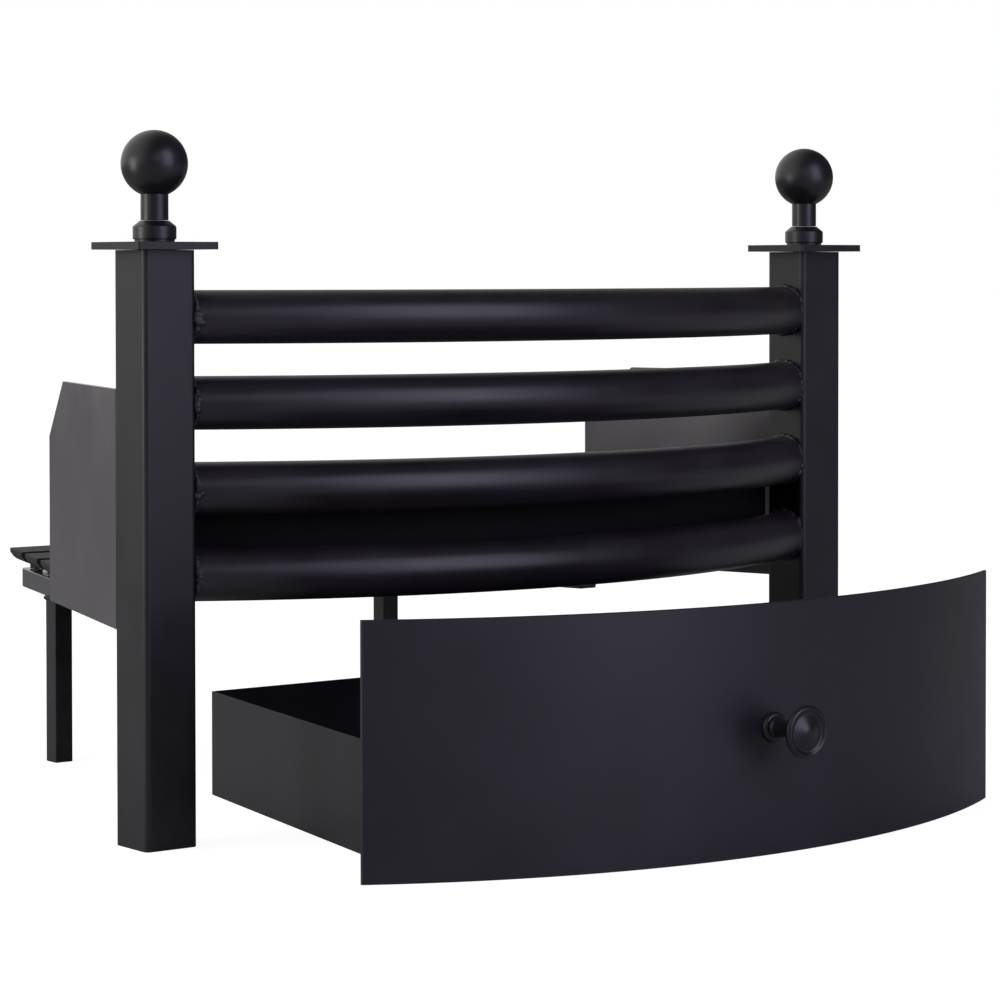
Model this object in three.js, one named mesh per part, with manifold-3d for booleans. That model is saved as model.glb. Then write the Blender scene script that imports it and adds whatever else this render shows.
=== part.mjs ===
// A log grate for an open fireplace: two box-section posts with ball finials, four bowed tube
// bars between them, steel cheeks and rails running back to two rear legs, a loose cast-iron
// bottom grate, and an ash pan with a bowed cover, drawn partly out on the hearth.
//
// Millimetres. +X is the viewer's right, +Y runs back into the fireplace, +Z is up, and the
// hearth is the plane z = 0. Each piece is drawn with y = 0 on the line through both posts;
// the last lines move everything so that the origin is on the hearth, under the middle.

import * as THREE from 'three';
import { mergeVertices } from 'three/addons/utils/BufferGeometryUtils.js';
import Module from 'manifold-3d';

// ---------------------------------------------------------------- driving dimensions

const seatGap = 0.3; // between pieces that touch

// posts: square box section, open at the foot
const postSpacing = 582; // centre to centre
const postWidth = 40;
const postWall = 3;
const postCorner = 4;
const postHeight = 396;

// square plate on each post
const capWidth = 62;
const capThickness = 5;
const capCorner = 2;

// turned collar and ball finial, with a stud that goes down into the cap plate
const collarDiameter = 29;
const collarHeight = 13.8;
const collarFootDiameter = 26.8; // the narrower foot that stands on the cap plate
const collarFootHeight = 1.4;
const collarShoulderHeight = 3.7; // the slope from the rim up to the top
const collarTopDiameter = 19.6;
const neckDiameter = 18.5;
const neckLength = 17.2;
const ballDiameter = 44.6;
const studDiameter = 10;
const studClearance = 0.4; // on the radius, in the collar and the cap plate
const studReach = 3; // below the cap plate

// fire bars: round tube, bowed to the front
const barCount = 4;
const barDiameter = 36;
const barWall = 3;
const lowestBarHeight = 179.5; // to its centre line
const topBarDrop = 44.6; // from the post's top down to the top bar's centre line
const barBow = 77; // how far the middle stands in front of the ends

// curved strip behind the two lowest bars
const stripThickness = 4;
const stripDrop = 9.5; // its lower edge, below the lowest bar's centre line
const stripHeight = 72;

// side cheeks: flat plate, welded to the back of the posts, closing in towards the rear
const cheekThickness = 3;
const cheekLength = 203.7;
const cheekAngle = 17.1; // degrees
const cheekInset = 1.5; // outer face, in from the post's outer face
const cheekBottom = 143.5;
const cheekHeight = 160.3;
const cheekCutBack = 45; // the corner cut off at the top of the rear end
const cheekCutDown = 41;

// solid plate between the strip and the bottom grate, level with the strip's lower edge
const hearthPlateThickness = 4;

// base frame of square bar, and the flat bar across its front end
const railWidth = 15;
const railHeight = 15;
const railAngle = 16.2; // degrees
const railRear = 462; // y of the rear end
const railRearHalfWidth = 136; // x of the outer face at the rear end
const railEndRound = 4;
const crossBarWidth = 12;
const crossBarThickness = 5;
const crossBarPlace = 174; // y of its centre line

// rear legs
const legWidth = 15;
const legPlace = 366.8; // y of the leg's centre line, under the middle of its rail

// loose cast-iron bottom grate: broad flat bars across, tied by three ribs
const castingHeight = 17; // over its feet
const castingBarCount = 6;
const castingBarWidth = 44;
const castingBarPitch = 57.6;
const castingBarDepth = 11;
const castingOverhang = 12; // past the rails at its rear edge, each side
const castingFlare = 17.8; // degrees, how its sides spread towards the front
const castingTipThickness = 3;
const castingTipRun = 14; // length of the curved underside at each tip
const castingTipTurn = 5; // where that curve turns, in from the tip
const barsBeforeCrossBar = 1; // the bars behind it have a foot on each rail
const castingFootWidth = 6; // across the rail
const castingFootLength = 10;
const castingFootInset = 5; // its outer side, in from the rail's outer face
const castingFootSetback = 4; // its rear side, in front of the bar's rear edge
const castingRibPlaces = [-0.5, 0, 0.5]; // as shares of the rails' spread
const castingRibWidth = 10;
const castingRibDrop = 1; // the ribs' tops lie this far below the bars' tops
const castingRibDepth = 9;

// ash pan: folded tray behind a bowed cover
const panAside = 11; // how far to the right the pan stands
const panPulledOut = 176; // from its place under the grate
const panLift = 0.3; // above the hearth
const trayRear = 330.5; // y of the tray's back when it is pushed home
const trayRearWidth = 322;
const trayFlare = 11.3; // degrees, each side
const trayHeight = 75.7;
const traySheet = 1.5;
const coverWidth = 549;
const coverOverBar = 3.7; // how far it stands up in front of the lowest bar
const coverSheet = 2;
const coverToPosts = 1.4; // left between cover ends and posts when pushed home

// turned knob on a small rose, held by a screw through the cover
const knobHeight = 84; // above the hearth
const roseDiameter = 20;
const roseThickness = 3;
const knobFootDiameter = 14;
const knobFootTaper = 2.8; // length over which the foot narrows to the stem
const knobStemDiameter = 11;
const knobHipLength = 7.9; // where the stem starts to widen, behind the rim
const knobHipDiameter = 16.5;
const knobHipRise = 3.2; // the hip's widest place, behind the rim
const knobBackDiameter = 28;
const knobDiameter = 35;
const knobLength = 35;
const knobRimThickness = 5;
const knobRimRound = 1.6;
const knobRimInner = 28.7; // diameter where the rim's flat face ends
const knobDishDiameter = 25.2; // of the groove inside the rim
const knobDishDepth = 1.5;
const knobDomeDiameter = 15.8; // where the low dome in the middle starts
const screwDiameter = 5;
const screwClearance = 0.4; // on the radius
const screwReach = 14; // into the knob
const screwHeadDiameter = 9;
const screwHeadThickness = 3;
const screwHeadChamfer = 1.3;

// fineness of the round surfaces
const roundSides = 24;
const tubeSides = 18;
const boreSides = 10;
const bowSteps = 20;
const cornerSteps = 4;

// ---------------------------------------------------------------- sizes that follow

const radians = Math.PI / 180;
const clearWidth = postSpacing - postWidth; // between the posts
const postRear = postWidth / 2;
const cheekOuterAtPost = postSpacing / 2 + postWidth / 2 - cheekInset;
const capTop = postHeight + seatGap + capThickness;
const collarBase = capTop + seatGap;
const collarTop = collarBase + collarHeight;

// the bars are spread evenly, and the strip and the cover take their heights from the lowest
const barPitch = (postHeight - topBarDrop - lowestBarHeight) / (barCount - 1);
const stripBottom = lowestBarHeight - stripDrop;
const stripTop = stripBottom + stripHeight;
const coverHeight = lowestBarHeight - barDiameter / 2 + coverOverBar;

// the bars, the strip and the cover bend round one upright axis behind the posts
const barRadius = ((clearWidth / 2) ** 2 + barBow ** 2) / (2 * barBow);
const bowCentre = barRadius - barBow;

const railTop = cheekBottom - seatGap;
const railBottom = railTop - railHeight;
const castingBottom = railTop + seatGap;
const castingTop = castingBottom + castingHeight;
const hearthPlateTop = stripBottom + hearthPlateThickness;

// distance from the middle to a rail's outer face
function railOuter(y) {
  return railRearHalfWidth + (railRear - y) * Math.tan(railAngle * radians);
}

// the same for its inner face
function railInner(y) {
  return railOuter(y) - railWidth / Math.cos(railAngle * radians);
}

function railMiddle(y) {
  return (railOuter(y) + railInner(y)) / 2;
}

// distance from the middle to a cheek's inner face
function cheekInner(y) {
  const closingIn = (y - postRear - seatGap) * Math.tan(cheekAngle * radians);
  return cheekOuterAtPost - closingIn - cheekThickness / Math.cos(cheekAngle * radians);
}

// ---------------------------------------------------------------- finishes

function finish(colour, roughness, metalness) {
  return new THREE.MeshStandardMaterial({ color: colour, roughness, metalness });
}

const satinBlack = finish(0x2a292e, 0.5, 0.2); // brushed-on stove paint on steel
const paintedCheek = finish(0x39373a, 0.55, 0.2);
const castBlack = finish(0x1d1c1e, 0.8, 0.3);
const panBlack = finish(0x29282f, 0.45, 0.25);
const turnedBlack = finish(0x1f1f21, 0.45, 0.3);
const zincSteel = finish(0x8d8f93, 0.4, 0.9);

// ---------------------------------------------------------------- cutting and joining

const wasm = await Module();
wasm.setup();

function solidOf(geometry) {
  geometry.deleteAttribute('normal');
  geometry.deleteAttribute('uv');
  const welded = mergeVertices(geometry);
  return new wasm.Manifold(
    new wasm.Mesh({
      numProp: 3,
      vertProperties: welded.getAttribute('position').array,
      triVerts: new Uint32Array(welded.getIndex().array),
    }),
  );
}

function geometryOf(solid) {
  const mesh = solid.getMesh();
  const geometry = new THREE.BufferGeometry();
  geometry.setAttribute('position', new THREE.BufferAttribute(mesh.vertProperties, 3));
  geometry.setIndex(new THREE.BufferAttribute(mesh.triVerts, 1));
  return geometry;
}

// a flat outline in plan, raised from one height to another
function raised(shape, bottom, top, curveSegments = cornerSteps) {
  const geometry = new THREE.ExtrudeGeometry(shape, {
    depth: top - bottom,
    bevelEnabled: false,
    curveSegments,
  });
  return geometry.translate(0, 0, bottom);
}

// a profile turned round the upright axis
function turned(profile) {
  return new THREE.LatheGeometry(profile, roundSides).rotateX(Math.PI / 2);
}

function point(x, y) {
  return new THREE.Vector2(x, y);
}

function outline(points) {
  return new THREE.Shape(points.map(([x, y]) => point(x, y)));
}

function squareOutline(width, corner) {
  const half = width / 2;
  const inner = half - corner;
  const shape = new THREE.Shape();
  shape.moveTo(inner, -half);
  shape.absarc(inner, -inner, corner, -Math.PI / 2, 0);
  shape.absarc(inner, inner, corner, 0, Math.PI / 2);
  shape.absarc(-inner, inner, corner, Math.PI / 2, Math.PI);
  shape.absarc(-inner, -inner, corner, Math.PI, Math.PI * 1.5);
  return shape;
}

// a regular polygon that stands for a circle
function ring(Kind, radius, corners) {
  const path = new Kind();
  path.setFromPoints(
    Array.from({ length: corners }, (_, corner) => {
      const angle = (2 * Math.PI * corner) / corners;
      return point(radius * Math.cos(angle), radius * Math.sin(angle));
    }),
  );
  return path;
}

// points on the bow's circle from one side to the other
function bowPoints(radius, halfWidth) {
  const points = [];
  const reach = Math.asin(halfWidth / radius);
  for (let step = 0; step <= bowSteps; step += 1) {
    const angle = reach * ((2 * step) / bowSteps - 1);
    points.push([radius * Math.sin(angle), bowCentre - radius * Math.cos(angle)]);
  }
  return points;
}

function piece(name, geometry, material) {
  const mesh = new THREE.Mesh(geometry, material);
  mesh.name = name;
  return mesh;
}

const sides = [
  { name: 'left', sign: -1 },
  { name: 'right', sign: 1 },
];

// ---------------------------------------------------------------- posts and their tops

function post() {
  const shape = squareOutline(postWidth, postCorner);
  shape.holes.push(squareOutline(postWidth - 2 * postWall, postCorner - postWall));
  return raised(shape, 0, postHeight);
}

function capPlate() {
  const shape = squareOutline(capWidth, capCorner);
  shape.holes.push(ring(THREE.Path, studDiameter / 2 + studClearance, roundSides));
  return raised(shape, postHeight + seatGap, capTop);
}

function collar() {
  const outer = collarDiameter / 2;
  const foot = collarFootDiameter / 2;
  const bore = studDiameter / 2 + studClearance;
  return turned([
    point(bore, collarBase),
    point(foot, collarBase),
    point(foot, collarBase + collarFootHeight),
    point(outer, collarBase + collarFootHeight),
    point(outer, collarTop - collarShoulderHeight),
    point(collarTopDiameter / 2, collarTop),
    point(bore, collarTop),
    point(bore, collarBase),
  ]);
}

function finial() {
  const neck = neckDiameter / 2;
  const ball = ballDiameter / 2;
  const stud = studDiameter / 2;
  const neckBase = collarTop + seatGap;
  const startAngle = Math.asin(neck / ball);
  const ballCentre = neckBase + neckLength + ball * Math.cos(startAngle);
  const profile = [
    point(0, postHeight - studReach),
    point(stud, postHeight - studReach),
    point(stud, neckBase),
    point(neck, neckBase),
  ];
  const steps = roundSides / 2;
  for (let step = 0; step < steps; step += 1) {
    const angle = startAngle + ((Math.PI - startAngle) * step) / steps;
    profile.push(point(ball * Math.sin(angle), ballCentre - ball * Math.cos(angle)));
  }
  profile.push(point(0, ballCentre + ball));
  return turned(profile);
}

function postAssembly({ name, sign }) {
  const group = new THREE.Group();
  group.position.x = (sign * postSpacing) / 2;
  group.add(piece(`${name}_post`, post(), satinBlack));
  group.add(piece(`${name}_post_cap`, capPlate(), satinBlack));
  group.add(piece(`${name}_finial_collar`, collar(), turnedBlack));
  group.add(piece(`${name}_ball_finial`, finial(), turnedBlack));
  return group;
}

// ---------------------------------------------------------------- bowed bars and strip

class Bow extends THREE.Curve {
  constructor(reach) {
    super();
    this.reach = reach;
  }

  getPoint(t, target = new THREE.Vector3()) {
    const angle = this.reach * (2 * t - 1);
    const x = barRadius * Math.sin(angle);
    return target.set(x, bowCentre - barRadius * Math.cos(angle), 0);
  }
}

// the tube runs on past both posts and is then cut flat against their inner faces
function bowedTube() {
  const section = ring(THREE.Shape, barDiameter / 2, tubeSides);
  section.holes.push(ring(THREE.Path, barDiameter / 2 - barWall, boreSides));
  const runPast = barDiameter / 2;
  const tube = new THREE.ExtrudeGeometry(section, {
    steps: bowSteps,
    extrudePath: new Bow(Math.asin((clearWidth / 2 + runPast) / barRadius)),
    bevelEnabled: false,
  });
  const between = new THREE.BoxGeometry(clearWidth - 2 * seatGap, 2 * barRadius, 2 * barDiameter);
  return solidOf(tube).intersect(solidOf(between));
}

function fireBars() {
  const group = new THREE.Group();
  const tube = bowedTube();
  for (let place = 0; place < barCount; place += 1) {
    const mesh = piece(`fire_bar_${place + 1}`, geometryOf(tube), satinBlack);
    mesh.position.z = lowestBarHeight + barPitch * (barCount - 1 - place);
    group.add(mesh);
  }
  return group;
}

function emberStrip() {
  const frontRadius = barRadius - barDiameter / 2 - seatGap;
  const halfWidth = clearWidth / 2 - seatGap;
  const front = bowPoints(frontRadius, halfWidth);
  const back = bowPoints(frontRadius - stripThickness, halfWidth).reverse();
  return piece('ember_strip', raised(outline([...front, ...back]), stripBottom, stripTop), satinBlack);
}

// ---------------------------------------------------------------- cheeks and hearth plate

function cheek({ name, sign }) {
  const shape = outline([
    [0, 0],
    [cheekLength, 0],
    [cheekLength, cheekHeight - cheekCutDown],
    [cheekLength - cheekCutBack, cheekHeight],
    [0, cheekHeight],
  ]);
  const plate = raised(shape, 0, cheekThickness).rotateX(Math.PI / 2);
  if (sign > 0) {
    plate.translate(0, cheekThickness, 0);
  }
  plate.rotateZ(Math.PI / 2 + sign * cheekAngle * radians);
  plate.translate(sign * cheekOuterAtPost, postRear + seatGap, cheekBottom);
  // the front edge is ground back to lie against the post
  const ground = new THREE.BoxGeometry(2 * postSpacing, postWidth, 4 * cheekHeight);
  ground.translate(0, seatGap, cheekBottom);
  return piece(`${name}_cheek`, geometryOf(solidOf(plate).subtract(solidOf(ground))), paintedCheek);
}

// its front edge follows the strip from end to end, and its ears reach on out to the cheeks
function hearthPlate() {
  const frontRadius = barRadius - barDiameter / 2 - stripThickness - 2 * seatGap;
  const halfArc = clearWidth / 2;
  const earFront = bowCentre - Math.sqrt(frontRadius ** 2 - halfArc ** 2);
  const rear = castingFront() - 2 * seatGap;
  const shape = outline([
    ...bowPoints(frontRadius, halfArc),
    [cheekInner(earFront) - seatGap, earFront],
    [cheekInner(rear) - seatGap, rear],
    [-cheekInner(rear) + seatGap, rear],
    [-cheekInner(earFront) + seatGap, earFront],
  ]);
  const plate = raised(shape, hearthPlateTop - hearthPlateThickness, hearthPlateTop);
  return piece('hearth_plate', plate, satinBlack);
}

// ---------------------------------------------------------------- base frame and legs

function rail({ name, sign }) {
  const front = crossBarPlace - crossBarWidth / 2;
  const shape = new THREE.Shape();
  shape.moveTo(sign * railOuter(front), front);
  shape.lineTo(sign * railOuter(railRear - railEndRound), railRear - railEndRound);
  shape.quadraticCurveTo(
    sign * railOuter(railRear),
    railRear,
    sign * (railOuter(railRear) - railEndRound),
    railRear,
  );
  shape.lineTo(sign * railInner(railRear), railRear);
  shape.lineTo(sign * railInner(front), front);
  return piece(`${name}_rail`, raised(shape, railBottom, railTop), satinBlack);
}

// the flat bar on top of the rails' front ends, from cheek to cheek
function frontCrossBar() {
  const front = crossBarPlace - crossBarWidth / 2;
  const rear = crossBarPlace + crossBarWidth / 2;
  const shape = outline([
    [-cheekInner(front) + seatGap, front],
    [cheekInner(front) - seatGap, front],
    [cheekInner(rear) - seatGap, rear],
    [-cheekInner(rear) + seatGap, rear],
  ]);
  const bottom = railTop + seatGap;
  return piece('front_cross_bar', raised(shape, bottom, bottom + crossBarThickness), satinBlack);
}

// the square bar let in between the rails' rear ends
function rearCrossBar() {
  const front = railRear - railWidth;
  const shape = outline([
    [-railInner(front) + seatGap, front],
    [railInner(front) - seatGap, front],
    [railInner(railRear) - seatGap, railRear],
    [-railInner(railRear) + seatGap, railRear],
  ]);
  return piece('rear_cross_bar', raised(shape, railBottom, railTop), satinBlack);
}

function rearLeg({ name, sign }) {
  const height = railBottom - seatGap;
  const mesh = piece(`${name}_rear_leg`, new THREE.BoxGeometry(legWidth, legWidth, height), satinBlack);
  mesh.position.set(sign * railMiddle(legPlace), legPlace, height / 2);
  return mesh;
}

// ---------------------------------------------------------------- cast-iron bottom grate

// the bars are spaced so that the front cross bar lies in the middle of a gap
function castingBarPlace(index) {
  return crossBarPlace + castingBarPitch * (index - barsBeforeCrossBar + 1 / 2);
}

function castingFront() {
  return castingBarPlace(0) - castingBarWidth / 2;
}

// distance from the middle to the casting's side, where its bars' tips lie
function castingSide(y) {
  const rear = castingBarPlace(castingBarCount - 1) + castingBarWidth / 2;
  return railOuter(rear) + castingOverhang + (rear - y) * Math.tan(castingFlare * radians);
}

// one bar, rounded up at both tips, its ends slanted along the casting's sides
function castingBar(index) {
  const place = castingBarPlace(index);
  const half = castingSide(place);
  const underside = castingTop - castingBarDepth;
  const tip = castingTop - castingTipThickness;
  const shape = new THREE.Shape();
  shape.moveTo(-half, castingTop);
  shape.lineTo(-half, tip);
  shape.quadraticCurveTo(-half + castingTipTurn, underside, -half + castingTipRun, underside);
  shape.lineTo(half - castingTipRun, underside);
  shape.quadraticCurveTo(half - castingTipTurn, underside, half, tip);
  shape.lineTo(half, castingTop);
  const geometry = raised(shape, 0, castingBarWidth);
  geometry.rotateX(Math.PI / 2).translate(0, place + castingBarWidth / 2, 0);
  const corners = geometry.getAttribute('position');
  for (let corner = 0; corner < corners.count; corner += 1) {
    const spread = castingSide(corners.getY(corner)) / half;
    corners.setX(corner, corners.getX(corner) * spread);
  }
  return geometry;
}

// a small foot under a bar, which stands on one of the rails and runs up into the bar
function castingFoot(index, sign) {
  const rear = castingBarPlace(index) + castingBarWidth / 2 - castingFootSetback;
  const outer = railOuter(rear) - castingFootInset;
  const height = castingHeight - castingBarDepth / 2;
  const foot = new THREE.BoxGeometry(castingFootWidth, castingFootLength, height);
  const across = sign * (outer - castingFootWidth / 2);
  return foot.translate(across, rear - castingFootLength / 2, castingBottom + height / 2);
}

// a rib that ties the bars together, at a share of the way out to the rails
function castingRib(front, rear, share) {
  const middle = (y) => share * railOuter(y);
  const half = castingRibWidth / 2;
  const shape = outline([
    [middle(front) - half, front],
    [middle(front) + half, front],
    [middle(rear) + half, rear],
    [middle(rear) - half, rear],
  ]);
  const top = castingTop - castingRibDrop;
  return raised(shape, top - castingRibDepth, top);
}

function bottomGrate() {
  const front = castingBarPlace(0);
  const rear = castingBarPlace(castingBarCount - 1);
  let casting = solidOf(castingBar(0));
  for (let index = 1; index < castingBarCount; index += 1) {
    casting = casting.add(solidOf(castingBar(index)));
  }
  for (let index = barsBeforeCrossBar; index < castingBarCount; index += 1) {
    for (const { sign } of sides) {
      casting = casting.add(solidOf(castingFoot(index, sign)));
    }
  }
  for (const share of castingRibPlaces) {
    casting = casting.add(solidOf(castingRib(front, rear, share)));
  }
  return piece('bottom_grate', geometryOf(casting), castBlack);
}

// ---------------------------------------------------------------- ash pan

// pushed home, the cover's back stands just in front of the posts
function coverBackRadius() {
  const halfWidth = coverWidth / 2;
  const depth = bowCentre + postWidth / 2 + coverToPosts;
  return Math.sqrt(halfWidth ** 2 + depth ** 2);
}

function coverFront() {
  return bowCentre - coverBackRadius() - coverSheet;
}

// the sides widen towards the front, where they meet a bow that follows the cover
function trayOutline(inset) {
  const radius = coverBackRadius() - seatGap - inset;
  const flare = Math.tan(trayFlare * radians);
  const slant = inset / Math.cos(trayFlare * radians);
  const halfAt = (y) => trayRearWidth / 2 - slant + (trayRear - y) * flare;
  // where the straight side crosses the bow's circle: the front root of a quadratic in y
  const square = flare ** 2 + 1;
  const linear = halfAt(0) * flare + bowCentre;
  const constant = halfAt(0) ** 2 + bowCentre ** 2 - radius ** 2;
  const corner = (linear - Math.sqrt(linear ** 2 - square * constant)) / square;
  const rear = trayRear - inset;
  return outline([...bowPoints(radius, halfAt(corner)), [halfAt(rear), rear], [-halfAt(rear), rear]]);
}

function tray() {
  const outside = raised(trayOutline(0), panLift, panLift + trayHeight);
  const inside = raised(trayOutline(traySheet), panLift + traySheet, 2 * trayHeight);
  return geometryOf(solidOf(outside).subtract(solidOf(inside)));
}

function cover() {
  const back = coverBackRadius();
  const half = coverWidth / 2;
  const front = bowPoints(back + coverSheet, half);
  const shape = outline([...front, ...bowPoints(back, half).reverse()]);
  const sheet = raised(shape, panLift, panLift + coverHeight);
  const drill = new THREE.CylinderGeometry(
    screwDiameter / 2 + screwClearance,
    screwDiameter / 2 + screwClearance,
    10 * coverSheet,
    boreSides,
  );
  drill.translate(0, bowCentre - back, knobHeight);
  return geometryOf(solidOf(sheet).subtract(solidOf(drill)));
}

// profiles of the turned pieces run outwards from the cover's front face
function turnedOutwards(profile, start) {
  const geometry = new THREE.LatheGeometry(profile, roundSides).rotateX(Math.PI);
  return geometry.translate(0, coverFront() - start, knobHeight);
}

function rose() {
  const bore = screwDiameter / 2 + screwClearance;
  const outer = roseDiameter / 2;
  const profile = [
    point(bore, 0),
    point(outer, 0),
    point(outer, roseThickness / 2),
    point(outer - roseThickness / 2, roseThickness),
    point(bore, roseThickness),
    point(bore, 0),
  ];
  return turnedOutwards(profile, seatGap);
}

function knob() {
  const bore = screwDiameter / 2 + screwClearance;
  const stem = knobStemDiameter / 2;
  const rim = knobDiameter / 2;
  const length = knobLength - roseThickness;
  const rimFront = length - knobDishDepth;
  const rimBack = rimFront - knobRimThickness;
  const profile = [
    point(0, screwReach + screwClearance),
    point(bore, screwReach + screwClearance),
    point(bore, 0),
    point(knobFootDiameter / 2, 0),
    point(stem, knobFootTaper),
    point(stem, rimBack - knobHipLength),
    point(knobHipDiameter / 2, rimBack - knobHipRise),
    point(knobBackDiameter / 2, rimBack),
    point(rim, rimBack + knobRimRound),
    point(rim, rimFront - knobRimRound),
    point(rim - knobRimRound, rimFront),
    point(knobRimInner / 2, rimFront),
    point(knobDishDiameter / 2, rimFront - knobDishDepth),
    point(knobDomeDiameter / 2, rimFront),
    point(0, length),
  ];
  return turnedOutwards(profile, roseThickness + 2 * seatGap);
}

function knobScrew() {
  const shank = screwDiameter / 2;
  const head = screwHeadDiameter / 2;
  const headFront = -coverSheet - seatGap;
  const profile = [
    point(0, headFront - screwHeadThickness),
    point(head - screwHeadChamfer, headFront - screwHeadThickness),
    point(head, headFront - screwHeadThickness + screwHeadChamfer),
    point(head, headFront),
    point(shank, headFront),
    point(shank, roseThickness + screwReach),
    point(0, roseThickness + screwReach),
  ];
  return turnedOutwards(profile, 0);
}

function ashPan() {
  const group = new THREE.Group();
  group.position.set(panAside, -panPulledOut, 0);
  group.add(piece('ash_pan_tray', tray(), panBlack));
  group.add(piece('ash_pan_cover', cover(), panBlack));
  group.add(piece('knob_rose', rose(), turnedBlack));
  group.add(piece('pan_knob', knob(), turnedBlack));
  group.add(piece('knob_screw', knobScrew(), zincSteel));
  return group;
}

// ---------------------------------------------------------------- the whole grate

const logGrate = new THREE.Group();
logGrate.add(...sides.map(postAssembly));
logGrate.add(fireBars());
logGrate.add(emberStrip());
logGrate.add(...sides.map(cheek));
logGrate.add(hearthPlate());
logGrate.add(...sides.map(rail));
logGrate.add(frontCrossBar());
logGrate.add(rearCrossBar());
logGrate.add(...sides.map(rearLeg));
logGrate.add(bottomGrate());
logGrate.add(ashPan());

// the origin is on the hearth, midway between the knob's face and the rails' rear ends
const knobFace = coverFront() - panPulledOut - knobLength - 2 * seatGap;
logGrate.position.y = -(knobFace + railRear) / 2;

export default logGrate;
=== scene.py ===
import math
import random

import bmesh
import bpy
from mathutils import Matrix, Vector


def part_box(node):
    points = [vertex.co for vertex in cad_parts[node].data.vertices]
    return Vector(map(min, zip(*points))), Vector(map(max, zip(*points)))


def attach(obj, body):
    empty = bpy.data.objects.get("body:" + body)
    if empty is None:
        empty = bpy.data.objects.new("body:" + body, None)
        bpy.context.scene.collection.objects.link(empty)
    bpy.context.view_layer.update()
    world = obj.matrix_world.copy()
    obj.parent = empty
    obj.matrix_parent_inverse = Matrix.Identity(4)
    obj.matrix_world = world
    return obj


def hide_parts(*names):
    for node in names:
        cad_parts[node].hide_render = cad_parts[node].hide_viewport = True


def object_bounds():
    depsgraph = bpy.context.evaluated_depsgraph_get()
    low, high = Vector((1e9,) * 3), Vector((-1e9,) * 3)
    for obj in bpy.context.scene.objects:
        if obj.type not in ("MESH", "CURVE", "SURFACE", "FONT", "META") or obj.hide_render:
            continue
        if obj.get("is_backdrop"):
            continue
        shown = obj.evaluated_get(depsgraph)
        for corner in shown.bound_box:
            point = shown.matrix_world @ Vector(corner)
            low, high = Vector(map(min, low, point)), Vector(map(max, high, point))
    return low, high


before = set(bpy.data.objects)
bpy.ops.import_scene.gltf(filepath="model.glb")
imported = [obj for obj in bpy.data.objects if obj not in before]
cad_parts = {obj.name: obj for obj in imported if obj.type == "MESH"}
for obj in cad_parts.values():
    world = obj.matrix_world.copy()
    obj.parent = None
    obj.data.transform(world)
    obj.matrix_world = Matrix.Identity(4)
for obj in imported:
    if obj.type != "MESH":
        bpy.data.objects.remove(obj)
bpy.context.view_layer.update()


# ---------------------------------------------------------------- camera
# The grate is seen from its left and a little below its top, through a long lens. The view is
# shifted, because the picture is a crop from a larger frame.

mm = 0.001
picture_width = 1000  # pixels, and as high
sensor_width = 36  # millimetres
focal_length = 3263.6  # pixels
view_centre = (489.8, 347.0)  # pixel that the lens points at
camera_place = (-1.42015, -1.93283, 0.38313)
camera_heading = math.radians(-37.159)
camera_dip = math.radians(1.368)
camera_roll = math.radians(-0.062)

lens = bpy.data.cameras.new("camera")
lens.sensor_width = sensor_width
lens.lens = focal_length * sensor_width / picture_width
lens.shift_x = 0.5 - view_centre[0] / picture_width
lens.shift_y = view_centre[1] / picture_width - 0.5
camera = bpy.data.objects.new("camera", lens)
aim = Matrix.Rotation(camera_heading, 4, "Z") @ Matrix.Rotation(math.pi / 2 - camera_dip, 4, "X")
camera.matrix_world = Matrix.Translation(camera_place) @ aim @ Matrix.Rotation(camera_roll, 4, "Z")
bpy.context.scene.collection.objects.link(camera)
bpy.context.scene.camera = camera
bpy.context.scene.view_settings.view_transform = "Standard"


# ---------------------------------------------------------------- studio
# A pale paper floor in a room that is bright behind the grate and to its left and dark to its
# right. A tall cool softbox stands in front with a weak fill to its left, and a small card
# lights the left side.

def linear(code):
    """A hex colour, turned from sRGB to linear."""
    parts = [int(code[place:place + 2], 16) / 255 for place in (1, 3, 5)]
    return tuple(p / 12.92 if p <= 0.04045 else ((p + 0.055) / 1.055) ** 2.4 for p in parts) + (1.0,)


def add(tree, kind, settings=None, **inputs):
    """A node with its settings, its values and its links. An input is named, or numbered as in_6."""
    made = tree.nodes.new(kind)
    for name, value in (settings or {}).items():
        setattr(made, name, value)
    for name, value in inputs.items():
        key = int(name[3:]) if name.startswith("in_") else name.replace("_", " ")
        socket = made.inputs[key]
        if isinstance(value, bpy.types.NodeSocket):
            tree.links.new(value, socket)
        else:
            socket.default_value = value
    return made


room_seen = 1.0  # what the lens sees behind the floor
bright_side = (-0.6, 0.8, 0.0)  # the way to the brightest wall
bright_wall = 1.08
dark_wall = 0.06
dark_until = -0.2  # how far a direction points to the bright side, from -1 to 1
bright_from = 0.7
wall_lighting = 0.75  # share of the walls' light that falls on the paint, where it isn't mirrored

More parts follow.
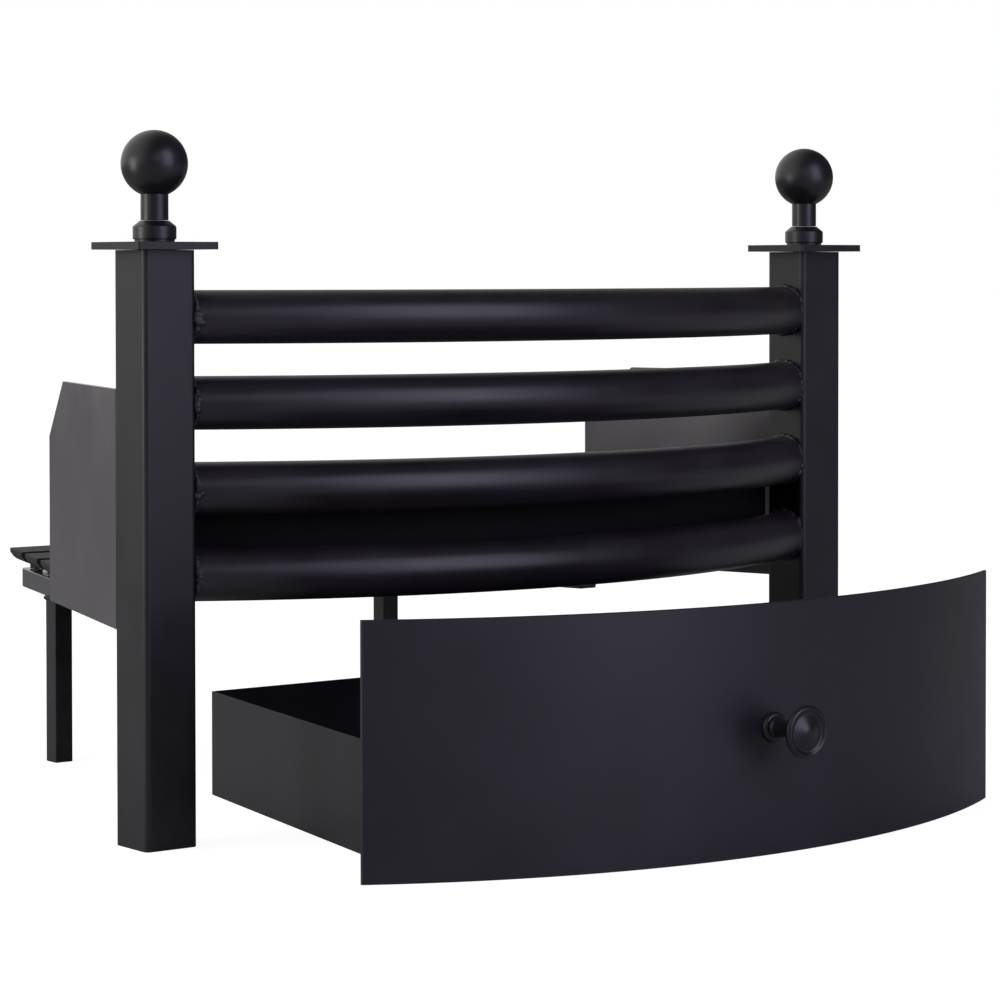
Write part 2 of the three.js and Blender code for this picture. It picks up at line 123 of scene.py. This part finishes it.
world = bpy.data.worlds.new("white_room")
world.use_nodes = True
bpy.context.scene.world = world
tree = world.node_tree
tree.nodes.clear()
ray = add(tree, "ShaderNodeLightPath")
way = add(tree, "ShaderNodeTexCoord").outputs["Generated"]
toward = add(tree, "ShaderNodeVectorMath", {"operation": "DOT_PRODUCT"}, in_0=way, in_1=bright_side)
wall = add(tree, "ShaderNodeMapRange", {"interpolation_type": "SMOOTHSTEP"},
           Value=toward.outputs["Value"], From_Min=dark_until, From_Max=bright_from,
           To_Min=dark_wall, To_Max=bright_wall)
mirrored = add(tree, "ShaderNodeMath", {"operation": "MAXIMUM"}, in_0=ray.outputs["Is Glossy Ray"],
               in_1=ray.outputs["Is Transmission Ray"])
share = add(tree, "ShaderNodeMix", in_0=mirrored.outputs[0], in_2=wall_lighting, in_3=1.0)
level = add(tree, "ShaderNodeMath", {"operation": "MULTIPLY"}, in_0=wall.outputs["Result"],
            in_1=share.outputs[0])
seen = add(tree, "ShaderNodeMix", in_0=ray.outputs["Is Camera Ray"], in_2=level.outputs[0], in_3=room_seen)
sky = add(tree, "ShaderNodeBackground", Color=linear("#ffffff"), Strength=seen.outputs[0])
add(tree, "ShaderNodeOutputWorld", Surface=sky.outputs[0])

floor_size = 60.0  # metres
floor_colour = "#b4b4b4"
floor_glow = 0.9  # what the floor adds to its own shade where it is seen
floor_glow_mirrored = 0.06  # and where a surface mirrors it

paper = bpy.data.materials.new("white_paper_floor")
paper.use_nodes = True
tree = paper.node_tree
tree.nodes.clear()
ray = add(tree, "ShaderNodeLightPath")
lit = add(tree, "ShaderNodeBsdfDiffuse", Color=linear(floor_colour))
mirrored = add(tree, "ShaderNodeMath", {"operation": "MAXIMUM"}, in_0=ray.outputs["Is Glossy Ray"],
               in_1=ray.outputs["Is Transmission Ray"])
in_mirror = add(tree, "ShaderNodeMath", {"operation": "MULTIPLY"}, in_0=mirrored.outputs[0],
                in_1=floor_glow_mirrored)
glow_level = add(tree, "ShaderNodeMath", {"operation": "MULTIPLY_ADD"}, in_0=ray.outputs["Is Camera Ray"],
                 in_1=floor_glow, in_2=in_mirror.outputs[0])
glow = add(tree, "ShaderNodeEmission", Color=linear("#ffffff"), Strength=glow_level.outputs[0])
both = add(tree, "ShaderNodeAddShader", in_0=lit.outputs[0], in_1=glow.outputs[0])
add(tree, "ShaderNodeOutputMaterial", Surface=both.outputs[0])

bm = bmesh.new()
bmesh.ops.create_grid(bm, x_segments=1, y_segments=1, size=floor_size / 2)
floor_mesh = bpy.data.meshes.new("floor")
bm.to_mesh(floor_mesh)
bm.free()
floor_mesh.materials.append(paper)
floor = bpy.data.objects.new("floor", floor_mesh)
bpy.context.scene.collection.objects.link(floor)
floor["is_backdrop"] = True


def softbox(name, place, target, width, height, power, tint):
    """A flat lamp that faces a point."""
    data = bpy.data.lights.new(name, "AREA")
    data.shape = "RECTANGLE"
    data.size = width
    data.size_y = height
    data.energy = power
    data.color = linear(tint)[:3]
    lamp = bpy.data.objects.new(name, data)
    facing = (Vector(target) - Vector(place)).to_track_quat("-Z", "Y").to_matrix().to_4x4()
    lamp.matrix_world = Matrix.Translation(place) @ facing
    lamp.visible_camera = False
    bpy.context.scene.collection.objects.link(lamp)


cool_tint = "#dedbf8"
softbox("front_softbox", place=(0.55, -2.63, 1.25), target=(0, -0.2, 0.3), width=1.7, height=2.4,
        power=35, tint=cool_tint)
softbox("front_fill", place=(-1.1, -2.3, 1.3), target=(-0.2, -0.1, 0.3), width=1.2, height=1.2,
        power=4.3, tint=cool_tint)
softbox("left_card", place=(-1.25, 0.25, 0.4), target=(0, 0.1, 0.25), width=0.35, height=0.5,
        power=2.7, tint="#ffffff")


# ---------------------------------------------------------------- posts
# Two lengths of 40 mm square steel tube, open at the foot, sawn square and painted with satin
# stove paint. The rolled corners of the tube catch a line of light.

def stove_paint(name, colour, worn, roughness, grain_mm=1.1, mottle_mm=45, bump=0.10, ior=1.5):
    """Satin black stove paint, sprayed on bare steel: near black, with a fine orange peel that
    softens what it mirrors, and patches where it lies thinner and looks a shade greyer."""
    paint = bpy.data.materials.new(name)
    paint.use_nodes = True
    tree = paint.node_tree
    tree.nodes.clear()
    where = add(tree, "ShaderNodeTexCoord").outputs["Object"]
    patches = add(tree, "ShaderNodeTexNoise", Vector=where, Scale=1 / (mottle_mm * mm), Detail=4.0,
                  Roughness=0.6)
    specks = add(tree, "ShaderNodeTexNoise", Vector=where, Scale=1 / (grain_mm * mm), Detail=3.0,
                 Roughness=0.65)
    spread = add(tree, "ShaderNodeMapRange", Value=patches.outputs["Fac"], From_Min=0.35, From_Max=0.7)
    tone = add(tree, "ShaderNodeMix", {"data_type": "RGBA"}, in_0=spread.outputs["Result"],
               in_6=linear(colour), in_7=linear(worn))
    gloss = add(tree, "ShaderNodeMapRange", Value=patches.outputs["Fac"], From_Min=0.3, From_Max=0.7,
                To_Min=roughness - 0.05, To_Max=roughness + 0.06)
    # the peel of sprayed paint is finer than a pixel here, so it is drawn at about 1 mm
    peel = add(tree, "ShaderNodeBump", Height=specks.outputs["Fac"], Strength=bump, Distance=0.3 * mm)
    shader = add(tree, "ShaderNodeBsdfPrincipled", Base_Color=tone.outputs[2], IOR=ior,
                 Roughness=gloss.outputs["Result"], Normal=peel.outputs["Normal"])
    add(tree, "ShaderNodeOutputMaterial", Surface=shader.outputs[0])
    return paint


same_point = 0.01 * mm
flat_angle = math.radians(1)
corner_angle = math.radians(40)
crease_angle = math.radians(42)


def softened(node, edge):
    """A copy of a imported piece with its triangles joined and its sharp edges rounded."""
    bm = bmesh.new()
    bm.from_mesh(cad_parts[node].data)
    bmesh.ops.remove_doubles(bm, verts=bm.verts, dist=same_point)
    bmesh.ops.dissolve_limit(bm, angle_limit=flat_angle, verts=bm.verts, edges=bm.edges)
    sharp = [e for e in bm.edges if len(e.link_faces) == 2 and e.calc_face_angle() > corner_angle]
    bmesh.ops.bevel(bm, geom=sharp, offset=edge, offset_type="OFFSET", affect="EDGES", segments=3,
                    profile=0.5, material=-1, clamp_overlap=True)
    return bm


def show(bm, name, material, body, node=None):
    """Makes a bmesh a piece of the grate that rides on a body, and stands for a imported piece."""
    mesh = bpy.data.meshes.new(name)
    bm.to_mesh(mesh)
    bm.free()
    mesh.shade_smooth()
    mesh.set_sharp_from_angle(angle=crease_angle)
    mesh.materials.append(material)
    piece = bpy.data.objects.new(name, mesh)
    bpy.context.scene.collection.objects.link(piece)
    flat = piece.modifiers.new("flat_faces_stay_flat", "WEIGHTED_NORMAL")
    flat.keep_sharp = True
    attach(piece, body)
    if node:
        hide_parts(node)
    return piece


post_paint = stove_paint("satin_stove_paint_on_tube", "#151216", "#1f1b20", 0.43)
tube_edge = 0.35 * mm

for side in ("left", "right"):
    show(softened(f"{side}_post", tube_edge), f"{side}_post_tube", post_paint,
         "root", f"{side}_post")


# ---------------------------------------------------------------- cap plates
# A 62 mm square of 5 mm flat bar welded on each post, with a hole for the finial. Its rim is
# ground round by hand.

cap_edge = 1.4 * mm

for side in ("left", "right"):
    show(softened(f"{side}_post_cap", cap_edge), f"{side}_post_cap_plate", post_paint,
         "root", f"{side}_post_cap")


# ---------------------------------------------------------------- finials
# A ball and its neck turned from one bar, screwed down through a turned collar. Lathe work is
# smoother than the tube, so its paint lies tighter and gleams a little more.

seam = 0.005 * mm  # points nearer than this are one


def turned(profile, closed=False, steps=72):
    """A profile of radius and height, turned round the upright axis."""
    bm = bmesh.new()
    points = [bm.verts.new((radius, 0, height)) for radius, height in profile]
    lines = [bm.edges.new(pair) for pair in zip(points, points[1:])]
    if closed:
        lines.append(bm.edges.new((points[-1], points[0])))
    bmesh.ops.spin(bm, geom=points + lines, cent=(0, 0, 0), axis=(0, 0, 1), dvec=(0, 0, 0),
                   angle=2 * math.pi, steps=steps, use_merge=True, use_duplicate=False)
    bmesh.ops.remove_doubles(bm, verts=bm.verts, dist=seam)
    bmesh.ops.recalc_face_normals(bm, faces=bm.faces)
    return bm


def eased(profile, rounds=2):
    """The same profile with its corners cut back again and again, so that it runs smooth."""
    for _ in range(rounds):
        cut = [profile[0]]
        for (r1, h1), (r2, h2) in zip(profile, profile[1:]):
            cut.append((0.75 * r1 + 0.25 * r2, 0.75 * h1 + 0.25 * h2))
            cut.append((0.25 * r1 + 0.75 * r2, 0.25 * h1 + 0.75 * h2))
        cut.append(profile[-1])
        profile = cut
    return profile


turned_paint = stove_paint("satin_paint_on_turned_steel", "#17171a", "#1f1f23", 0.36, grain_mm=1.4,
                           bump=0.12)
neck_radius = 9.25 * mm
neck_clearance = 0.3 * mm
ball_steps = 30
collar_foot_radius = 13.4 * mm
collar_foot_height = 1.4 * mm
collar_slope_height = 3.7 * mm
collar_top_radius = 9.8 * mm
collar_bore = 5.4 * mm
collar_rounding = 0.5 * mm

for side in ("left", "right"):
    low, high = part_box(f"{side}_ball_finial")
    collar_low, collar_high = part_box(f"{side}_finial_collar")
    middle = Vector(((low.x + high.x) / 2, (low.y + high.y) / 2, 0))
    ball = (high.x - low.x) / 2
    centre = high.z - ball
    start = math.asin(neck_radius / ball)
    neck_base = collar_high.z + neck_clearance
    profile = [(0, neck_base), (neck_radius, neck_base)]
    for step in range(ball_steps + 1):
        angle = start + (math.pi - start) * step / ball_steps
        profile.append((ball * math.sin(angle), centre - ball * math.cos(angle)))
    bm = turned(profile)
    bmesh.ops.translate(bm, verts=bm.verts, vec=middle)
    show(bm, f"{side}_ball_and_neck", turned_paint, "root", f"{side}_ball_finial")

    # a narrow foot, a straight rim with its corners broken, and a slope up to the neck
    outer = (collar_high.x - collar_low.x) / 2
    foot_top = collar_low.z + collar_foot_height
    slope_base = collar_high.z - collar_slope_height
    profile = [
        (collar_bore, collar_low.z),
        (collar_foot_radius, collar_low.z),
        (collar_foot_radius, foot_top),
        (outer - collar_rounding, foot_top),
        (outer, foot_top + collar_rounding),
        (outer, slope_base - collar_rounding),
        (outer - collar_rounding, slope_base + collar_rounding / 2),
        (collar_top_radius, collar_high.z),
        (collar_bore, collar_high.z),
    ]
    bm = turned(profile, closed=True)
    bmesh.ops.translate(bm, verts=bm.verts, vec=middle)
    show(bm, f"{side}_turned_collar", turned_paint, "root", f"{side}_finial_collar")


# ---------------------------------------------------------------- fire bars
# Four lengths of 36 mm round steel tube, rolled to one bow and welded between the posts. Their
# round fronts draw the light out into one soft band.

post_low, post_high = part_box("left_post")
posts_line = (post_low.y + post_high.y) / 2
clear_half = -post_high.x
bar_radius = 18 * mm
bow = 77 * mm
bow_radius = (clear_half ** 2 + bow ** 2) / (2 * bow)
bow_centre = Vector((0, posts_line + bow_radius - bow, 0))
overrun = 1.1  # a sweep runs past both ends, and is then cut


def swept(bm, centre, radius, half_width, steps=72):
    """Sweeps a closed section, drawn at the bow's middle, along it and cuts both ends square."""
    reach = math.asin(half_width / radius) * overrun
    loop = bm.verts[:] + bm.edges[:]
    bmesh.ops.rotate(bm, verts=bm.verts, cent=centre, matrix=Matrix.Rotation(-reach, 3, "Z"))
    bmesh.ops.spin(bm, geom=loop, cent=centre, axis=(0, 0, 1), dvec=(0, 0, 0), angle=2 * reach,
                   steps=steps, use_merge=False, use_duplicate=False)
    for sign in (-1, 1):
        everything = bm.verts[:] + bm.edges[:] + bm.faces[:]
        bmesh.ops.bisect_plane(bm, geom=everything, plane_co=(centre.x + sign * half_width, 0, 0),
                               plane_no=(sign, 0, 0), clear_outer=True)
    bmesh.ops.holes_fill(bm, edges=[e for e in bm.edges if e.is_boundary])
    bmesh.ops.recalc_face_normals(bm, faces=bm.faces)
    return bm


bar_paint = stove_paint("satin_stove_paint_on_bowed_tube", "#201c21", "#29252b", 0.37, mottle_mm=60)
bar_sides = 48
facing_along = Matrix.Rotation(math.pi / 2, 4, "Y")  # turns a flat circle to face along the bar

for number in (1, 2, 3, 4):
    low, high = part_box(f"fire_bar_{number}")
    middle = Vector((0, bow_centre.y - bow_radius, (low.z + high.z) / 2))
    bm = bmesh.new()
    bmesh.ops.create_circle(bm, cap_ends=False, radius=bar_radius, segments=bar_sides,
                            matrix=Matrix.Translation(middle) @ facing_along)
    swept(bm, bow_centre, bow_radius, high.x)
    show(bm, f"fire_bar_{number}_tube", bar_paint, "root", f"fire_bar_{number}")


# ---------------------------------------------------------------- bar welds
# The bars are stick-welded to the posts by hand. A thin bead runs round each end, with one
# fused lump in front at mid height, and is painted over with the rest.

weld_paint = stove_paint("paint_over_weld_beads", "#1c1b1f", "#34333a", 0.44, grain_mm=0.8, mottle_mm=6,
                         bump=0.5)


drop_sizes = (0.75, 1.3)  # shares of a drop's usual radius
drop_wander = 0.35  # and how far it lies off its place
squat = Matrix.Diagonal((1.15, 0.9, 1.0, 1.0))


def bead(bm, places, drop, dice):
    """Drops of weld metal, each a little off its place and of its own size."""
    for place in places:
        size = drop * dice.uniform(*drop_sizes)
        off = Vector([dice.uniform(-drop_wander, drop_wander) * drop for _ in range(3)])
        turn = Matrix.Rotation(dice.uniform(0, math.pi), 4, Vector((1, 1, 1)).normalized())
        bmesh.ops.create_icosphere(bm, subdivisions=2, radius=size,
                                   matrix=Matrix.Translation(Vector(place) + off) @ turn @ squat)


def fused(piece, grain, rounds):
    """Runs the drops of a weld together into one bead and lets its surface flow smooth."""
    piece.modifiers.clear()
    melted = piece.modifiers.new("drops_run_together", "REMESH")
    melted.mode = "VOXEL"
    melted.voxel_size = grain
    melted.use_smooth_shade = True
    flowed = piece.modifiers.new("surface_flows_smooth", "SMOOTH")
    flowed.iterations = rounds


bead_drop = 1.7 * mm
bead_inset = 1.2 * mm  # from the post's side to the middle of the bead
bead_reach = 19 * mm  # the bead stays on the post's side, 20 mm either way from its middle
lump_drop = 2.5 * mm
lump_aside = (0.5, 6.5)  # mm from the post's side
lump_ahead = (18, 20.5)  # mm in front of the posts' middle
lump_above = (-4, 4)  # mm about the bar's middle
drops_round = 80
drops_in_lump = 18
weld_grain = 0.5 * mm
end_slant = math.asin(clear_half / bow_radius)
for number in (1, 2, 3, 4):
    low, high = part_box(f"fire_bar_{number}")
    height = (low.z + high.z) / 2
    for side, sign in (("left", -1), ("right", 1)):
        dice = random.Random(f"{side} bar weld {number}")
        bm = bmesh.new()
        places = []
        for drop in range(drops_round):
            angle = 2 * math.pi * drop / drops_round
            y = bar_radius * math.cos(angle) / math.cos(end_slant)
            y = max(-bead_reach, min(bead_reach, y))
            z = height + bar_radius * math.sin(angle)
            places.append((sign * (clear_half - bead_inset), posts_line + y, z))
        bead(bm, places, bead_drop, dice)
        lump = []
        for _ in range(drops_in_lump):
            x = sign * (clear_half - dice.uniform(*lump_aside) * mm)
            y = posts_line - dice.uniform(*lump_ahead) * mm
            z = height + dice.uniform(*lump_above) * mm
            lump.append((x, y, z))
        bead(bm, lump, lump_drop, dice)
        weld = show(bm, f"{side}_weld_of_bar_{number}", weld_paint, "root")
        fused(weld, weld_grain, rounds=6)


# ---------------------------------------------------------------- ember strip
# A strip of 4 mm flat steel, rolled to the bars' bow and tacked behind the two lowest, so that
# embers don't fall through.

def band_section(centre, outline):
    """The closed section of a bowed band, from distances to the bow's centre and heights."""
    bm = bmesh.new()
    section = [bm.verts.new((centre.x, centre.y - radius, z)) for radius, z in outline]
    for place, corner in enumerate(section):
        bm.edges.new((section[place - 1], corner))
    return bm


# The strip is drawn near black, and its paint mirrors little: painted shade, for the shadow it lies in
# behind the bars.
shaded_strip_paint = stove_paint("stove_paint_on_strip_darkened_as_painted_shade", "#0a080b", "#110e12", 0.7, ior=1.25)
strip_clearance = 0.3 * mm
strip_thickness = 4 * mm

low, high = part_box("ember_strip")
strip_front = bow_radius - bar_radius - strip_clearance
strip_back = strip_front - strip_thickness
bm = band_section(bow_centre, [
    (strip_front, low.z), (strip_front, high.z), (strip_back, high.z), (strip_back, low.z),
])
swept(bm, bow_centre, strip_front, high.x)
show(bm, "ember_strip_plate", shaded_strip_paint, "root", "ember_strip")


# ---------------------------------------------------------------- cheeks and hearth plate
# Two cheeks of 3 mm plate, welded to the backs of the posts, and a 4 mm hearth plate between
# them. Plate is smoother than tube, so that seen along its face it mirrors the bright wall and
# looks grey. Its paint is drawn greyer than the tube's as well: a painted sheen.

# grey base colour: painted sheen, for the grey that the mirrored wall gives the plate
sheen_greyed_plate_paint = stove_paint("satin_stove_paint_on_plate_greyed_as_painted_sheen", "#4b454a", "#544e53", 0.19, mottle_mm=70,
                          bump=0.03)
plate_edge = 0.3 * mm

for side in ("left", "right"):
    show(softened(f"{side}_cheek", plate_edge), f"{side}_cheek_plate", sheen_greyed_plate_paint, "root",
         f"{side}_cheek")
show(softened("hearth_plate", plate_edge), "hearth_plate_sheet", sheen_greyed_plate_paint, "root",
     "hearth_plate")


# ---------------------------------------------------------------- base frame and rear legs
# Two rails, the rear cross bar and two legs are 15 mm square bar, sawn and welded, and the front
# cross bar is 12 by 5 mm flat. Such bar comes from the mill with slightly rounded edges. The
# rails' faces are smoother than the rest, and their paint is drawn a shade greyer: a painted
# sheen, for the bright wall that their sides mirror.

bar_stock_paint = stove_paint("satin_stove_paint_on_square_bar", "#201f22", "#2a292d", 0.43, mottle_mm=30)
# grey base colour on the rails: painted sheen
sheen_greyed_rail_paint = stove_paint("satin_stove_paint_on_rail_faces_greyed_as_painted_sheen", "#474246", "#504b4f", 0.22, mottle_mm=30)

rail_edge = 0.9 * mm
bar_stock_edge = 0.7 * mm

for node in ("left_rail", "right_rail"):
    show(softened(node, rail_edge), f"{node}_stock", sheen_greyed_rail_paint, "root", node)
for node in ("front_cross_bar", "rear_cross_bar", "left_rear_leg", "right_rear_leg"):
    show(softened(node, bar_stock_edge), f"{node}_stock", bar_stock_paint,
         "root", node)

leg_drop = 1.6 * mm
drops_per_side = 8
for side in ("left", "right"):
    low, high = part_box(f"{side}_rear_leg")
    dice = random.Random(f"{side} leg weld")
    places = []
    for drop in range(drops_per_side):
        along = drop / (drops_per_side - 1)
        x = low.x + (high.x - low.x) * along
        y = low.y + (high.y - low.y) * along
        places += [(x, low.y, high.z), (x, high.y, high.z), (low.x, y, high.z), (high.x, y, high.z)]
    bm = bmesh.new()
    bead(bm, places, leg_drop, dice)
    weld = show(bm, f"{side}_leg_weld", weld_paint, "root")
    fused(weld, weld_grain, rounds=4)


# ---------------------------------------------------------------- bottom grate
# A loose grey-iron casting of six broad bars on three ribs, with small feet that stand on the
# rails. Sand casting leaves it rough and dull, with soft edges.

def cast_iron(name, colour, rust, grain_mm, pit_mm, cloud_mm):
    """Sand-cast iron under a dull black wash: grainy from the sand, with shallow pits."""
    iron = bpy.data.materials.new(name)
    iron.use_nodes = True
    tree = iron.node_tree
    tree.nodes.clear()
    where = add(tree, "ShaderNodeTexCoord").outputs["Object"]
    sand = add(tree, "ShaderNodeTexNoise", Vector=where, Scale=1 / (grain_mm * mm), Detail=5.0,
               Roughness=0.7)
    pits = add(tree, "ShaderNodeTexVoronoi", Vector=where, Scale=1 / (pit_mm * mm))
    cloud = add(tree, "ShaderNodeTexNoise", Vector=where, Scale=1 / (cloud_mm * mm), Detail=5.0)
    spread = add(tree, "ShaderNodeMapRange", Value=cloud.outputs["Fac"], From_Min=0.45, From_Max=0.75)
    tone = add(tree, "ShaderNodeMix", {"data_type": "RGBA"}, in_0=spread.outputs["Result"],
               in_6=linear(colour), in_7=linear(rust))
    sunk = add(tree, "ShaderNodeBump", Height=pits.outputs["Distance"], Strength=0.25, Distance=0.4 * mm)
    rough = add(tree, "ShaderNodeBump", Height=sand.outputs["Fac"], Strength=0.6, Distance=0.5 * mm,
                Normal=sunk.outputs["Normal"])
    shader = add(tree, "ShaderNodeBsdfPrincipled", Base_Color=tone.outputs[2], Roughness=0.68,
                 Normal=rough.outputs["Normal"], IOR=1.5)
    add(tree, "ShaderNodeOutputMaterial", Surface=shader.outputs[0])
    return iron


iron = cast_iron("sand_cast_iron", "#19181a", "#242122", grain_mm=1.2, pit_mm=5, cloud_mm=28)
cast_edge = 0.8 * mm
show(softened("bottom_grate", cast_edge), "bottom_grate_casting", iron, "bottom_grate",
     "bottom_grate")


# ---------------------------------------------------------------- ash pan
# A tray folded from 1.5 mm sheet, spot-welded to the back of a tall 2 mm front, which is rolled
# to a bow that just clears the bars. Thin sheet takes the paint evenly, a little glossier than
# the tube does and with a faint blue cast.

sheet_paint = stove_paint("satin_paint_on_thin_sheet", "#1d1c23", "#24232b", 0.40, mottle_mm=90, bump=0.06)

tray_edge = 0.4 * mm
show(softened("ash_pan_tray", tray_edge), "ash_pan_tray_sheet", sheet_paint, "ash_pan",
     "ash_pan_tray")

low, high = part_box("ash_pan_cover")
cover_sheet = 2 * mm
cover_half = (high.x - low.x) / 2
cover_depth = high.y - low.y - cover_sheet
back_radius = (cover_half ** 2 + cover_depth ** 2) / (2 * cover_depth)
cover_centre = Vector(((low.x + high.x) / 2, low.y + cover_sheet + back_radius, 0))
cover_edge = 0.5 * mm
front_radius = back_radius + cover_sheet
bm = band_section(cover_centre, [
    (back_radius, low.z), (front_radius - cover_edge, low.z), (front_radius, low.z + cover_edge),
    (front_radius, high.z - cover_edge), (front_radius - cover_edge, high.z), (back_radius, high.z),
])
swept(bm, cover_centre, back_radius, cover_half, steps=110)
show(bm, "ash_pan_bowed_front", sheet_paint, "ash_pan", "ash_pan_cover")


# ---------------------------------------------------------------- knob
# A turned steel knob with a raised rim round a low dome, on a small rose, held by a screw from
# behind the cover.

knob_paint = stove_paint("gloss_paint_on_turned_knob", "#1a1a1d", "#232327", 0.32, grain_mm=0.9, bump=0.2)
knob_low, knob_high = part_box("pan_knob")
rose_low, rose_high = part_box("knob_rose")
knob_axis = Vector(((knob_low.x + knob_high.x) / 2, 0, (knob_low.z + knob_high.z) / 2))


def facing_front(bm, start):
    """Lays a turned piece on its side, so that it points to the front from a given depth."""
    bmesh.ops.rotate(bm, verts=bm.verts, cent=(0, 0, 0), matrix=Matrix.Rotation(math.pi / 2, 3, "X"))
    bmesh.ops.translate(bm, verts=bm.verts, vec=knob_axis + Vector((0, start, 0)))
    return bm


foot = 7 * mm
stem = 5.5 * mm
hip = 8.2 * mm
dome_stands_out = 1.5 * mm
rim_thickness = 5 * mm
groove_depth = 1.5 * mm

rim = (knob_high.x - knob_low.x) / 2
length = knob_high.y - knob_low.y
face = length - dome_stands_out
back = face - rim_thickness
# from the rose forward: foot, stem, hip, back and edge of the rim, its face, groove and dome
profile = eased([
    (0, 0), (foot, 0), (foot, 0.6 * mm), (stem, 2.8 * mm), (stem, back - 7.9 * mm),
    (hip, back - 3.2 * mm), (14 * mm, back), (rim - 0.4 * mm, back + 1.2 * mm),
    (rim, back + 2.2 * mm), (rim, face - 1.6 * mm), (rim - 1.5 * mm, face), (14.6 * mm, face),
    (12.8 * mm, face - groove_depth), (11.6 * mm, face - groove_depth), (8 * mm, face - 0.3 * mm),
    (3 * mm, length), (0, length),
])
show(facing_front(turned(profile), knob_high.y), "pan_knob_turned", knob_paint,
     "ash_pan", "pan_knob")

rose = (rose_high.x - rose_low.x) / 2
thick = rose_high.y - rose_low.y
profile = eased([
    (0, 0), (rose, 0), (rose, 0.8 * mm), (rose - 1.6 * mm, thick), (5.6 * mm, thick), (0, thick),
])
show(facing_front(turned(profile), rose_high.y), "knob_rose_turned", knob_paint,
     "ash_pan", "knob_rose")


# ---------------------------------------------------------------- knob screw
# A zinc-plated machine screw with a domed head. Zinc is bright but a little cloudy.

def zinc_plate(name, cloud_mm):
    """Zinc plating: a bluish bright metal with cloudy patches."""
    zinc = bpy.data.materials.new(name)
    zinc.use_nodes = True
    tree = zinc.node_tree
    tree.nodes.clear()
    where = add(tree, "ShaderNodeTexCoord").outputs["Object"]
    cloud = add(tree, "ShaderNodeTexNoise", Vector=where, Scale=1 / (cloud_mm * mm), Detail=4.0)
    tone = add(tree, "ShaderNodeMix", {"data_type": "RGBA"}, in_0=cloud.outputs["Fac"],
               in_6=linear("#8a8d92"), in_7=linear("#a9acb0"))
    gloss = add(tree, "ShaderNodeMapRange", Value=cloud.outputs["Fac"], To_Min=0.25, To_Max=0.45)
    shader = add(tree, "ShaderNodeBsdfPrincipled", Base_Color=tone.outputs[2], Metallic=1.0,
                 Roughness=gloss.outputs["Result"])
    add(tree, "ShaderNodeOutputMaterial", Surface=shader.outputs[0])
    return zinc


screw_low, screw_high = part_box("knob_screw")
head = (screw_high.x - screw_low.x) / 2
head_top = 3 * mm
dome = 1.3 * mm
shank = 2.5 * mm
shank_end = screw_high.y - screw_low.y - head_top
profile = eased([(0, -head_top), (head - dome, -head_top), (head, -head_top + dome), (head, 0)], 3)
profile += [(shank, 0), (shank, shank_end), (0, shank_end)]
show(facing_front(turned(profile, steps=48), screw_high.y - head_top), "knob_screw_zinc",
     zinc_plate("zinc_plated_steel", cloud_mm=2), "ash_pan", "knob_screw")


low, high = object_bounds()
